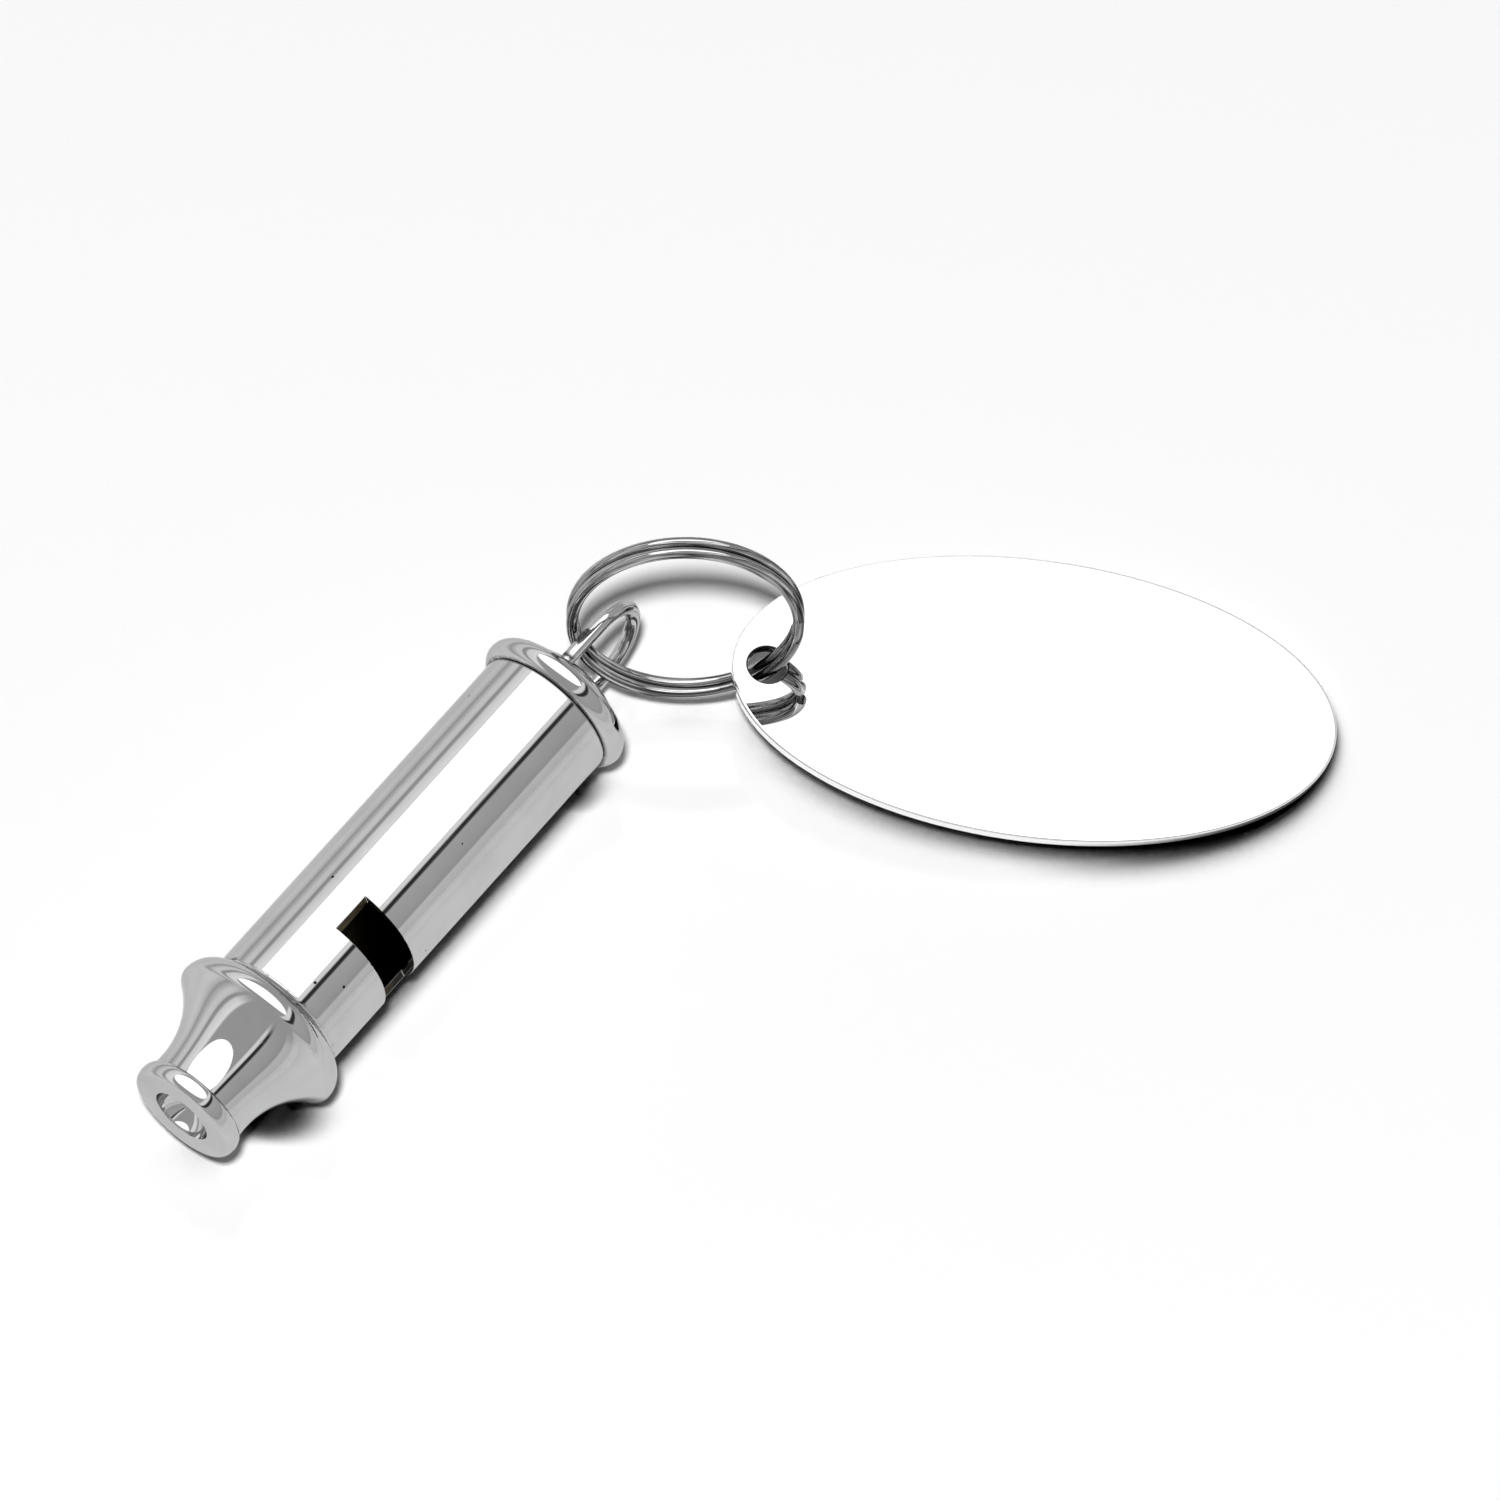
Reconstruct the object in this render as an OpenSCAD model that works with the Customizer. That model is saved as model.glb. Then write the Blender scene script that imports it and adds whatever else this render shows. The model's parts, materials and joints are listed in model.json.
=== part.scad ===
// Tubular two-note safety whistle on a split ring, with an oval engraving tag.
// The origin is the centre of the blow hole on the lip's face, +X runs along the
// barrel from the lip to the cap, and +Z is up from the surface the whistle lies on.

/* [Mouthpiece] */
// Length from the lip's face to the barrel's seat
mouth_length = 12.3; // [10:0.1:16]
// Diameter of the lip
lip_d = 10.2; // [9.6:0.1:11.4]
// Thickness of the rounded lip
lip_thick = 1.1; // [0.9:0.1:1.6]
// Turn of the lip's rounding past its widest point
lip_turn = 65; // [40:5:80]
// Diameter of the waist behind the lip
waist_d = 9.2; // [8.6:0.1:9.8]
// Distance of the waist from the lip's face
waist_at = 2.8; // [2.4:0.1:3.6]
// Diameter of the collar
collar_d = 16; // [15:0.1:18]
// Thickness of the collar's rounded edge
collar_edge = 1.2; // [1:0.1:1.6]
// Radius of the collar's shoulder towards the barrel
shoulder_r = 2; // [1.8:0.1:2.2]
// Radius of the fillet between the shoulder and the barrel
shoulder_fillet = 0.5; // [0.3:0.1:0.8]
// Diameter of the blow hole
blow_d = 3.6; // [3:0.1:4.2]
// Depth of the collar's spigot in the barrel
spigot_depth = 2.5; // [2:0.1:4]
// Wall of the spigot around the wind chest
spigot_wall = 0.55; // [0.4:0.05:0.8]

/* [Barrel] */
// Outside diameter of the barrel tube
barrel_d = 12.5; // [12:0.1:13.4]
// Wall of the barrel tube
barrel_wall = 0.7; // [0.5:0.05:0.9]
// Length of the barrel tube
barrel_length = 36; // [30:0.5:44]
// Distance of the windows from the mouthpiece end of the tube
window_start = 6.9; // [6:0.1:9]
// Width of a window along the barrel
window_width = 3.8; // [3:0.1:5]
// Depth of the saw cut that opens a window
window_depth = 2.9; // [2:0.1:3.4]
// Turn of the upper window from straight up
window_roll = 68; // [40:1:90]

/* [Voicing] */
// Thickness of the plate that divides the barrel into two pipes
divider_thick = 0.6; // [0.4:0.1:1]
// Height of the wind slit between a plug's flat and the barrel
slit_height = 1.2; // [0.9:0.05:1.5]
// Slack all round a piece that is soldered in place
seat_gap = 0.02; // [0.01:0.01:0.05]

/* [Cap] */
// Diameter of the cap's bead
cap_d = 14.2; // [13.6:0.1:15.6]
// Thickness of the bead
bead_thick = 2.4; // [2:0.1:2.8]
// Height of the dome above the bead's crease
dome_height = 2; // [1.4:0.1:2.8]
// Depth of the cap's plug in the barrel
cap_plug = 3.5; // [3:0.1:6]

/* [Eye] */
// Diameter of the eye's wire
eye_wire = 1.3; // [1:0.05:1.5]
// Distance between the wire centres of the two legs
eye_span = 8.8; // [8.6:0.1:9.2]
// Reach of the eye beyond the dome
eye_reach = 8; // [7.6:0.1:9]
// Depth of a leg in the cap
leg_depth = 3.6; // [2.5:0.1:4]
// Turn of the eye's plane up from level
eye_roll = 88; // [84:1:94]
// Distance from the dome to the ring's wire in the eye
ring_reach = 2.3; // [2.2:0.05:2.6]
// Distance of the ring's wire below the middle of the eye
ring_low = 0.6; // [0.4:0.05:0.8]

/* [Split ring] */
// Outside diameter of the split ring
ring_d = 20; // [18:0.5:25]
// Diameter of the ring's wire
ring_wire = 1; // [0.8:0.05:1.1]
// Gap between the two turns
turn_gap = 0.42; // [0.42:0.02:0.6]
// Angle taken by the step from one turn to the other
step_angle = 24; // [20:2:60]
// Place of the step above the ring's level, clear of the eye and the tag
step_at = -4; // [-8:1:120]
// Heading of the ring away from the barrel's axis
ring_heading = 51.7; // [40:0.1:60]
// Lean of the standing ring from upright
ring_lean = 10; // [0:1:16]
// Place of the eye on the ring, below level
eye_station = 37; // [35:0.5:39]

/* [Tag] */
// Length of the oval tag
tag_length = 51.5; // [44:0.5:60]
// Width of the oval tag
tag_width = 26.6; // [22:0.2:32]
// Thickness of the tag
tag_thick = 1; // [0.8:0.1:1.2]
// Diameter of the tag's hole
tag_hole_d = 4.2; // [4:0.1:4.6]
// Strip of tag left between the hole and the end
tag_hole_rim = 0.9; // [0.8:0.1:2]
// Heading of the tag away from the barrel's axis
tag_heading = 55.8; // [50:0.1:64]
// Place of the tag on the ring, below level
tag_station = 44; // [40:1:48]

/* [Hidden] */
$fn = 96;
nickel = [0.78, 0.78, 0.79];
steel = [0.6, 0.6, 0.62];
brass = [0.72, 0.62, 0.38];
eps = 0.01;

// Stations along the barrel's axis
barrel_x0 = mouth_length;
barrel_x1 = barrel_x0 + barrel_length;
spigot_x1 = barrel_x0 + spigot_depth;
window_x0 = barrel_x0 + window_start;
cap_plug_x0 = barrel_x1 - cap_plug;
crease_x = barrel_x1 + bead_thick;
dome_x = crease_x + dome_height;

// Radii about the barrel's axis
barrel_r = barrel_d / 2;
edge_r = collar_edge / 2;
edge_at = collar_d / 2 - edge_r;
shoulder_at = collar_d / 2 - shoulder_r;
bore_r = barrel_r - barrel_wall;
seat_r = bore_r - seat_gap;
chest_r = seat_r - spigot_wall;
bead_r = bead_thick / 2;
crease_r = cap_d / 2 - bead_r;
floor_z = -collar_d / 2;

// The collar's edge stands as far from the barrel as its shoulder and fillet reach
collar_back = sqrt(pow(shoulder_r + shoulder_fillet, 2) - pow(barrel_r + shoulder_fillet - shoulder_at, 2));
collar_x = barrel_x0 - collar_back;

// Eye: two legs and a half-round bend in one plane that holds the barrel's axis
bend_r = eye_span / 2;
bend_x = dome_x + eye_reach - bend_r - eye_wire / 2;
leg_x0 = crease_x - leg_depth;

// Split ring: where its wire goes through the eye, and its centre. The ring stands in
// the eye, round the upper leg and clear of the lower one.
ring_r = (ring_d - ring_wire) / 2;
turn_pitch = ring_wire + turn_gap;
eye_hold = [dome_x + ring_reach, -ring_low * cos(eye_roll), -ring_low * sin(eye_roll)];
level_dir = [cos(ring_heading), -sin(ring_heading), 0];
up_dir = [sin(ring_lean) * sin(ring_heading), sin(ring_lean) * cos(ring_heading), cos(ring_lean)];
ring_centre = eye_hold + ring_r * (cos(eye_station) * level_dir + sin(eye_station) * up_dir);

// Tag: its hole sits on the ring's wire, and its far end lies on the surface
tag_hole_in = tag_hole_rim + tag_hole_d / 2;
tag_hold = ring_centre + ring_r * (cos(tag_station) * level_dir - sin(tag_station) * up_dir);
tag_far = tag_length - tag_hole_in;
tag_pitch = asin((tag_hold[2] - floor_z - tag_thick / 2) / tag_far);

// Turns a shape drawn about Z so that its axis lies along +X
module along_x() { rotate([90, 0, 90]) children(); }

// A solid of revolution about the barrel's axis, from a profile of radius and station
module turned() { along_x() rotate_extrude() children(); }

// A rectangle of the profile, from one radius and station to another
module band(r0, x0, r1, x1) { translate([r0, x0]) square([r1 - r0, x1 - x0]); }

// Points of an arc about a centre, without its first point
function arc(centre, r, from, to, steps) =
    [for (i = [1:steps]) let (a = from + (to - from) * i / steps) centre + r * [cos(a), sin(a)]];

// Mouthpiece: rounded lip, hollow flare up to the collar, rounded shoulder down to the
// barrel, and a spigot in the barrel. Each arc of the outline runs into the next.
module mouthpiece() {
    lip_r = lip_thick / 2;
    lip_at = [lip_d / 2 - lip_r, lip_r];
    run = collar_x - waist_at;
    rise = edge_at - waist_d / 2;
    flare_r = (run * run + rise * rise - edge_r * edge_r) / (2 * (rise + edge_r));
    flare_at = [waist_d / 2 + flare_r, waist_at];
    flare_from = 180 + asin((waist_at - lip_thick) / flare_r);
    flare_to = atan2(run, edge_at - flare_at[0]);
    fillet_at = barrel_r + shoulder_fillet;
    shoulder_to = atan2(collar_back, fillet_at - shoulder_at);
    outline = concat(
        [[blow_d / 2, 0], [lip_at[0], 0]],
        arc(lip_at, lip_r, -90, lip_turn, 10),
        [flare_at + flare_r * [cos(flare_from), sin(flare_from)]],
        arc(flare_at, flare_r, flare_from, flare_to, 18),
        arc([edge_at, collar_x], edge_r, flare_to - 180, 0, 6),
        arc([shoulder_at, collar_x], shoulder_r, 0, shoulder_to, 10),
        arc([fillet_at, barrel_x0], shoulder_fillet, shoulder_to + 180, 180, 5),
        [[seat_r, barrel_x0], [seat_r, spigot_x1], [chest_r, spigot_x1],
         [chest_r, collar_x], [blow_d / 2, collar_x]]);
    color(nickel) turned() polygon(outline);
}

// Barrel: an open tube with two windows sawn across opposite sides
module barrel() {
    color(nickel) difference() {
        turned() band(bore_r, barrel_x0, barrel_r, barrel_x1);
        for (side = [0, 180])
            rotate([window_roll + side, 0, 0])
                translate([window_x0, -barrel_r, barrel_r - window_depth])
                    cube([window_width, barrel_d, barrel_r]);
    }
}

// Divider: a flat plate from the mouthpiece's spigot to the cap's plug
module divider() {
    half_w = sqrt(seat_r * seat_r - divider_thick * divider_thick / 4);
    color(brass) rotate([window_roll, 0, 0])
        translate([spigot_x1, -half_w, -divider_thick / 2])
            cube([cap_plug_x0 - spigot_x1, 2 * half_w, divider_thick]);
}

// Plug: half a disc on the divider, with a flat that leaves the wind slit under the barrel
module plug(side) {
    flat_z = bore_r - slit_height;
    color(brass) rotate([window_roll + side, 0, 0]) intersection() {
        translate([spigot_x1, 0, 0]) rotate([0, 90, 0]) cylinder(h = window_x0 - spigot_x1, r = seat_r);
        translate([spigot_x1 - 1, -barrel_r, divider_thick / 2])
            cube([window_x0 - spigot_x1 + 2, barrel_d, flat_z - divider_thick / 2]);
    }
}

module upper_plug() { plug(0); }

module lower_plug() { plug(180); }

// Cap: a plug in the barrel, a round bead on the barrel's end and a dome above it
module cap() {
    dome_r = (crease_r * crease_r + dome_height * dome_height) / (2 * dome_height);
    color(nickel) difference() {
        turned() {
            band(0, cap_plug_x0, seat_r, barrel_x1 + eps);
            band(0, barrel_x1, crease_r, crease_x);
            translate([crease_r, barrel_x1 + bead_r]) circle(bead_r);
            intersection() {
                translate([0, dome_x - dome_r]) circle(dome_r, $fn = 192);
                band(0, crease_x - eps, crease_r, dome_x + eps);
            }
        }
        eye_legs(eye_wire / 2 + seat_gap);
    }
}

// The eye's two straight legs, from the bottom of their holes to the bend
module eye_legs(r) {
    rotate([eye_roll, 0, 0])
        for (side = [-1, 1])
            translate([leg_x0, side * bend_r, 0]) rotate([0, 90, 0])
                cylinder(h = bend_x - leg_x0, r = r);
}

// Eye: one wire bent into a loop, with its legs soldered into the cap
module eye() {
    color(nickel) {
        eye_legs(eye_wire / 2);
        rotate([eye_roll, 0, 0]) translate([bend_x, 0, 0]) rotate([0, 0, -90])
            rotate_extrude(angle = 180) translate([bend_r, 0]) circle(d = eye_wire);
    }
}

// Split ring: two turns of one wire, with a step between them. The wire's ends lie on
// either side of the step.
ring_turn_rings = 48;
ring_sides = 10;
wire_start = step_angle / 2;
wire_end = 720 - step_angle / 2;
wire_rings = 2 * ring_turn_rings;
function eased(t) = t <= 0 ? 0 : t >= 1 ? 1 : t * t * (3 - 2 * t);
function wire_height(a) = turn_pitch * (eased((a - 360 + step_angle / 2) / step_angle) - 0.5);
function wire_point(a, side) =
    let (q = 360 * side / ring_sides)
    [(ring_r + ring_wire / 2 * cos(q)) * cos(a), (ring_r + ring_wire / 2 * cos(q)) * sin(a),
     wire_height(a) + ring_wire / 2 * sin(q)];
wire_angles = [for (i = [0:wire_rings]) wire_start + (wire_end - wire_start) * i / wire_rings];
wire_points = [for (a = wire_angles) for (s = [0:ring_sides - 1]) wire_point(a, s)];
function quad(i, s) =
    let (a = i * ring_sides + s, b = i * ring_sides + (s + 1) % ring_sides,
         c = b + ring_sides, d = a + ring_sides)
    [[a, b, c], [a, c, d]];
wire_faces = concat(
    [for (i = [0:wire_rings - 1]) for (s = [0:ring_sides - 1]) for (f = quad(i, s)) f],
    [for (s = [1:ring_sides - 2]) [0, s + 1, s]],
    [for (s = [1:ring_sides - 2])
        let (e = wire_rings * ring_sides) [e, e + s, e + s + 1]]);

module split_ring() {
    color(steel) translate(ring_centre) rotate([90 - ring_lean, 0, -ring_heading])
        rotate([0, 0, step_at]) polyhedron(wire_points, wire_faces, convexity = 6);
}

// The least gap between the wire's turns, measured on points about a turn apart
function axis_point(a) = [ring_r * cos(a), ring_r * sin(a), wire_height(a)];
turn_clear = min([for (a = wire_angles) for (turn = [330:3:390])
    if (a + turn <= wire_end) norm(axis_point(a + turn) - axis_point(a)) - ring_wire]);
echo(least_gap_between_turns = turn_clear, blow_hole_length = collar_x);
echo(eye_hold = eye_hold, ring_centre = ring_centre, tag_hold = tag_hold, tag_pitch = tag_pitch);
echo(ring_tangent_at_eye = cos(eye_station) * up_dir - sin(eye_station) * level_dir);
echo(ring_tangent_at_tag = sin(tag_station) * level_dir + cos(tag_station) * up_dir);

// Tag: a flat oval plate with one hole near its end
module tag() {
    half_l = tag_length / 2;
    half_w = tag_width / 2;
    color(nickel) translate(tag_hold) rotate([0, tag_pitch, -tag_heading])
        difference() {
            translate([half_l - tag_hole_in, 0, -tag_thick / 2]) linear_extrude(tag_thick)
                polygon([for (a = [0:3:357]) [half_l * cos(a), half_w * sin(a)]]);
            translate([0, 0, -tag_thick]) cylinder(h = 2 * tag_thick, d = tag_hole_d);
        }
}

mouthpiece();
barrel();
divider();
upper_plug();
lower_plug();
cap();
eye();
split_ring();
tag();
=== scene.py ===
import json
import math

import bmesh
import bpy
from mathutils import Matrix, Vector


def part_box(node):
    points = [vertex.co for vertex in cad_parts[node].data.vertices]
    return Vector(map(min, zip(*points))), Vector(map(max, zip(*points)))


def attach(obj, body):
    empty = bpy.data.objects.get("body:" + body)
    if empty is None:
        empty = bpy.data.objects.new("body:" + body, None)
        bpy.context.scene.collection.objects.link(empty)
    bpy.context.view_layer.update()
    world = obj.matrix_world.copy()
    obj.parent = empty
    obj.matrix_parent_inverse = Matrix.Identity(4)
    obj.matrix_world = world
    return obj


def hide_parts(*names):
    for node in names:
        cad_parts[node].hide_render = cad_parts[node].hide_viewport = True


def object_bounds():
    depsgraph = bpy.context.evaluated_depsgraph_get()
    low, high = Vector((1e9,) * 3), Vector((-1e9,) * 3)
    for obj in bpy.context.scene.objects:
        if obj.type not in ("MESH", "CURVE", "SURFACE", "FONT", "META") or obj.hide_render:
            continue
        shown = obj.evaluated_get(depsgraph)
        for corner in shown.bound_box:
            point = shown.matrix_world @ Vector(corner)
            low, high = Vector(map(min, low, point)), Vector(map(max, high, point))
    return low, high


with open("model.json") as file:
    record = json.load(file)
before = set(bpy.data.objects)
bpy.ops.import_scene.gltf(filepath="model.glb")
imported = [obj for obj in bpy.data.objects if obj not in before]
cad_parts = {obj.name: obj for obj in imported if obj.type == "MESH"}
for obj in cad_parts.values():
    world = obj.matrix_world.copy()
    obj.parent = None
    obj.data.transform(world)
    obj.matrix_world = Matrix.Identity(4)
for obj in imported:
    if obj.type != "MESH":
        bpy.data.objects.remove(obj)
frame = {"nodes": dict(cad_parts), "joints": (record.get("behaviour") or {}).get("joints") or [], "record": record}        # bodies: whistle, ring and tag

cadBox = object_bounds()
scene = bpy.context.scene
scene.view_settings.view_transform = "Standard"
mm = 0.001               # sizes in the dictionaries are millimetres


def cornersOf(node):     # a node's lowest and highest corner, in millimetres
    return [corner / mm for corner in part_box(node)]


# places that the frame gives
mouthHigh = cornersOf("mouthpiece")[1]
tubeLow, tubeHigh = cornersOf("barrel")
capLow, capHigh = cornersOf("cap")
eyeLow, eyeHigh = cornersOf("eye")
floorZ = cadBox[0].z / mm
mounts = {mount["name"]: mount for mount in frame["record"]["mounts"]}
hinges = {joint["name"]: joint for joint in frame["joints"]}
tagHold = Vector(hinges["tag_swing"]["pos_m"])
tagUp = Vector(mounts["tag_face"]["axis"]).normalized()
toMiddle = Vector(mounts["tag_face"]["pos_m"]) - tagHold
tagWay = (toMiddle - tagUp * toMiddle.dot(tagUp)).normalized()

# camera: the photograph's own view, from well back so that it hardly tapers
shot = {
    "azimuth": 308.3,            # degrees, 0 looks along +Y
    "elevation": 62.0,
    "aim": (52.05, -18.9, 9.82),   # what stands in the middle of the picture
    "width": 124.7,              # of the picture, at the aim
    "lens": 400.0,
}


def placeCamera(s):
    turn, rise = math.radians(s["azimuth"]), math.radians(s["elevation"])
    back = Vector((math.sin(turn) * math.cos(rise), -math.cos(turn) * math.cos(rise), math.sin(rise)))
    lens = bpy.data.cameras.new("photoCamera")
    lens.lens = s["lens"]
    camera = bpy.data.objects.new("photoCamera", lens)
    scene.collection.objects.link(camera)
    distance = s["width"] * s["lens"] / lens.sensor_width
    camera.location = (Vector(s["aim"]) + back * distance) * mm
    camera.rotation_euler = back.to_track_quat("Z", "Y").to_euler()
    scene.camera = camera


placeCamera(shot)
print("camera placed")


# nodes: short ways to add, set and link them
def addNode(tree, kind, **settings):
    node = tree.nodes.new(kind)
    for key, value in settings.items():
        setattr(node, key, value)
    return node


def setInputs(node, **values):
    for key, value in values.items():
        node.inputs[key.replace("_", " ")].default_value = value
    return node


def feed(tree, socket, value):       # links another node's output, or sets a plain value
    if hasattr(value, "is_output"):
        tree.links.new(value, socket)
    elif value is not None:
        socket.default_value = value


def mathNode(tree, operation, first, second=None, third=None):
    node = addNode(tree, "ShaderNodeMath", operation=operation)
    for socket, value in zip(node.inputs, (first, second, third)):
        feed(tree, socket, value)
    return node.outputs[0]


def vectorNode(tree, operation, first, second=None):
    node = addNode(tree, "ShaderNodeVectorMath", operation=operation)
    feed(tree, node.inputs[0], first)
    feed(tree, node.inputs["Scale"] if operation == "SCALE" else node.inputs[1], second)
    return node.outputs["Value" if operation in ("LENGTH", "DOT_PRODUCT") else "Vector"]


def noiseNode(tree, vector, size, **settings):
    node = setInputs(addNode(tree, "ShaderNodeTexNoise"), **settings)
    feed(tree, node.inputs["Vector"], vector)
    feed(tree, node.inputs["Scale"], size)
    return node.outputs["Fac"]


def rampNode(tree, source, stops):
    node = addNode(tree, "ShaderNodeValToRGB")
    places = node.color_ramp.elements
    while len(places) < len(stops):
        places.new(1.0)
    for place, (position, grey) in zip(places, stops):
        place.position = position
        place.color = (grey, grey, grey, 1.0)
    tree.links.new(source, node.inputs["Fac"])
    return node.outputs["Color"]


def newGroup(name, inputs, outputs):
    group = bpy.data.node_groups.new(name, "ShaderNodeTree")
    for label, kind, value in inputs:
        socket = group.interface.new_socket(label, in_out="INPUT", socket_type=kind)
        if value is not None:
            socket.default_value = value
    for label, kind in outputs:
        group.interface.new_socket(label, in_out="OUTPUT", socket_type=kind)
    return group, addNode(group, "NodeGroupInput"), addNode(group, "NodeGroupOutput")


# polish marks: cloudy smears, fine hairlines, the slow waves of hand polishing and a few pits
polish = {
    "cloud": {"Detail": 5.0, "Roughness": 0.62}, "cloudStops": [(0.38, 0.0), (0.72, 1.0)],
    "line": {"Detail": 2.0, "Roughness": 0.5}, "lineStops": [(0.64, 0.0), (0.69, 1.0), (0.74, 0.0)],
    "lays": (0.5, 1.9, 2.7),             # the turns of three lays of hairlines across each other
    "layTurn": (0.7, 0.4, 1.0), "layStretch": (0.035, 1.0, 1.0),
    "wave": {"Detail": 1.0, "Roughness": 0.4},
    "pitSpread": 330.0, "pitSize": 0.045,
}


def makePolishMarks(p):
    group, given, out = newGroup(
        "polishMarks",
        [("Vector", "NodeSocketVector", None), ("Smear Size", "NodeSocketFloat", 220.0),
         ("Hairline Size", "NodeSocketFloat", 900.0), ("Wave Size", "NodeSocketFloat", 160.0)],
        [("Smear", "NodeSocketFloat"), ("Hairline", "NodeSocketFloat"), ("Wave", "NodeSocketFloat"),
         ("Pit", "NodeSocketFloat")])
    place = given.outputs["Vector"]
    cloud = noiseNode(group, place, given.outputs["Smear Size"], **p["cloud"])
    group.links.new(rampNode(group, cloud, p["cloudStops"]), out.inputs["Smear"])
    lines = None
    for turn in p["lays"]:
        lay = addNode(group, "ShaderNodeMapping")
        lay.inputs["Rotation"].default_value = [turn * share for share in p["layTurn"]]
        lay.inputs["Scale"].default_value = p["layStretch"]
        group.links.new(place, lay.inputs["Vector"])
        scratch = noiseNode(group, lay.outputs["Vector"], given.outputs["Hairline Size"], **p["line"])
        thin = rampNode(group, scratch, p["lineStops"])
        lines = thin if lines is None else mathNode(group, "MAXIMUM", lines, thin)
    group.links.new(lines, out.inputs["Hairline"])
    wave = noiseNode(group, place, given.outputs["Wave Size"], **p["wave"])
    group.links.new(wave, out.inputs["Wave"])
    cells = setInputs(addNode(group, "ShaderNodeTexVoronoi"), Scale=p["pitSpread"])
    group.links.new(place, cells.inputs["Vector"])
    pits = mathNode(group, "LESS_THAN", cells.outputs["Distance"], p["pitSize"])
    group.links.new(pits, out.inputs["Pit"])
    return group


# seam grime: polish that stays black in the joints between turned pieces, in specks
specks = {"spread": 1100.0, "detail": 3.0, "contrast": 7.0}


def makeSeamGrime(s):
    group, given, out = newGroup(
        "seamGrime",
        [("Vector", "NodeSocketVector", None), ("Place", "NodeSocketFloat", 0.0),
         ("Station", "NodeSocketFloat", 0.0), ("Reach", "NodeSocketFloat", 0.0002),
         ("Cover", "NodeSocketFloat", 0.5)],
        [("Mask", "NodeSocketFloat")])
    away = mathNode(group, "SUBTRACT", given.outputs["Place"], given.outputs["Station"])
    share = mathNode(group, "DIVIDE", mathNode(group, "ABSOLUTE", away), given.outputs["Reach"])
    near = mathNode(group, "SUBTRACT", 1.0, share)
    near.node.use_clamp = True
    speck = noiseNode(group, given.outputs["Vector"], s["spread"], Detail=s["detail"])
    filled = mathNode(group, "ADD", speck, given.outputs["Cover"])
    dots = mathNode(group, "MULTIPLY_ADD", filled, s["contrast"], -s["contrast"])
    dots.node.use_clamp = True
    group.links.new(mathNode(group, "MULTIPLY", near, dots), out.inputs["Mask"])
    return group


# draw lines and dark reflections: dark lines along a wire, partly the marks that the die leaves and partly
# painted dark reflections, which wander slowly round it
wander = {"detail": 1.5, "middle": 0.5}      # a line runs where the noise is at its middle


def makeDrawLinesAndDarkReflections(w):
    group, given, out = newGroup(
        "drawLinesAndDarkReflections",
        [("Vector", "NodeSocketVector", None), ("Around", "NodeSocketVector", None),
         ("Wander", "NodeSocketFloat", 70.0), ("Spread", "NodeSocketFloat", 1.9),
         ("Width", "NodeSocketFloat", 0.035)],
        [("Mask", "NodeSocketFloat")])
    drift = vectorNode(group, "SCALE", given.outputs["Vector"], given.outputs["Wander"])
    spread = vectorNode(group, "SCALE", given.outputs["Around"], given.outputs["Spread"])
    field = noiseNode(group, vectorNode(group, "ADD", drift, spread), 1.0, Detail=w["detail"])
    away = mathNode(group, "ABSOLUTE", mathNode(group, "SUBTRACT", field, w["middle"]))
    line = mathNode(group, "SUBTRACT", 1.0, mathNode(group, "DIVIDE", away, given.outputs["Width"]))
    line.node.use_clamp = True
    group.links.new(line, out.inputs["Mask"])
    return group


polishMarks = makePolishMarks(polish)
seamGrime = makeSeamGrime(specks)
drawLinesAndDarkReflections = makeDrawLinesAndDarkReflections(wander)


def newMaterial(name):
    material = bpy.data.materials.new(name)
    material.use_nodes = True
    tree = material.node_tree
    tree.nodes.clear()
    shader = addNode(tree, "ShaderNodeBsdfPrincipled")
    out = addNode(tree, "ShaderNodeOutputMaterial")
    tree.links.new(shader.outputs["BSDF"], out.inputs["Surface"])
    coords = addNode(tree, "ShaderNodeTexCoord")
    return material, tree, shader, coords.outputs["Object"]


def placeGroup(tree, group, vector, **values):
    node = addNode(tree, "ShaderNodeGroup", node_tree=group)
    tree.links.new(vector, node.inputs["Vector"])
    return setInputs(node, **values)


def mixColour(tree, factor, first, second):
    node = addNode(tree, "ShaderNodeMix", data_type="RGBA")
    for index, value in ((0, factor), (6, first), (7, second)):      # the sockets of a colour mix
        feed(tree, node.inputs[index], (*value, 1.0) if isinstance(value, tuple) else value)
    return node.outputs[2]


# distance from a leg's middle line, which runs along X
def fromLeg(tree, place, leg):
    away = vectorNode(tree, "SUBTRACT", place, (0.0, leg[0] * mm, leg[1] * mm))
    return vectorNode(tree, "LENGTH", vectorNode(tree, "MULTIPLY", away, (0.0, 1.0, 1.0)))


# how far along the tag a place is from its hole, in millimetres
def alongTag(tree, place):
    return vectorNode(tree, "DOT_PRODUCT", vectorNode(tree, "SUBTRACT", place, tagHold), tagWay / mm)


# bow: how high the tag's face seems to stand along its length, as if its end were bent a little
def bowHeight(tree, place, bow):
    near = mathNode(tree, "SMOOTH_MIN", alongTag(tree, place), bow["reach"], bow["blend"])
    return mathNode(tree, "MULTIPLY", near, bow["slope"])


# the lines along a wire, as a mask: the dark ones partly die marks and partly painted dark reflections, the
# bright ones painted highlights
def wireLines(tree, place, line):
    lines = placeGroup(tree, drawLinesAndDarkReflections, place, Width=line["width"], Spread=line["spread"])
    around = addNode(tree, "ShaderNodeAttribute", attribute_name="around")
    tree.links.new(around.outputs["Vector"], lines.inputs["Around"])
    return mathNode(tree, "MULTIPLY", lines.outputs["Mask"], line["share"])
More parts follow.
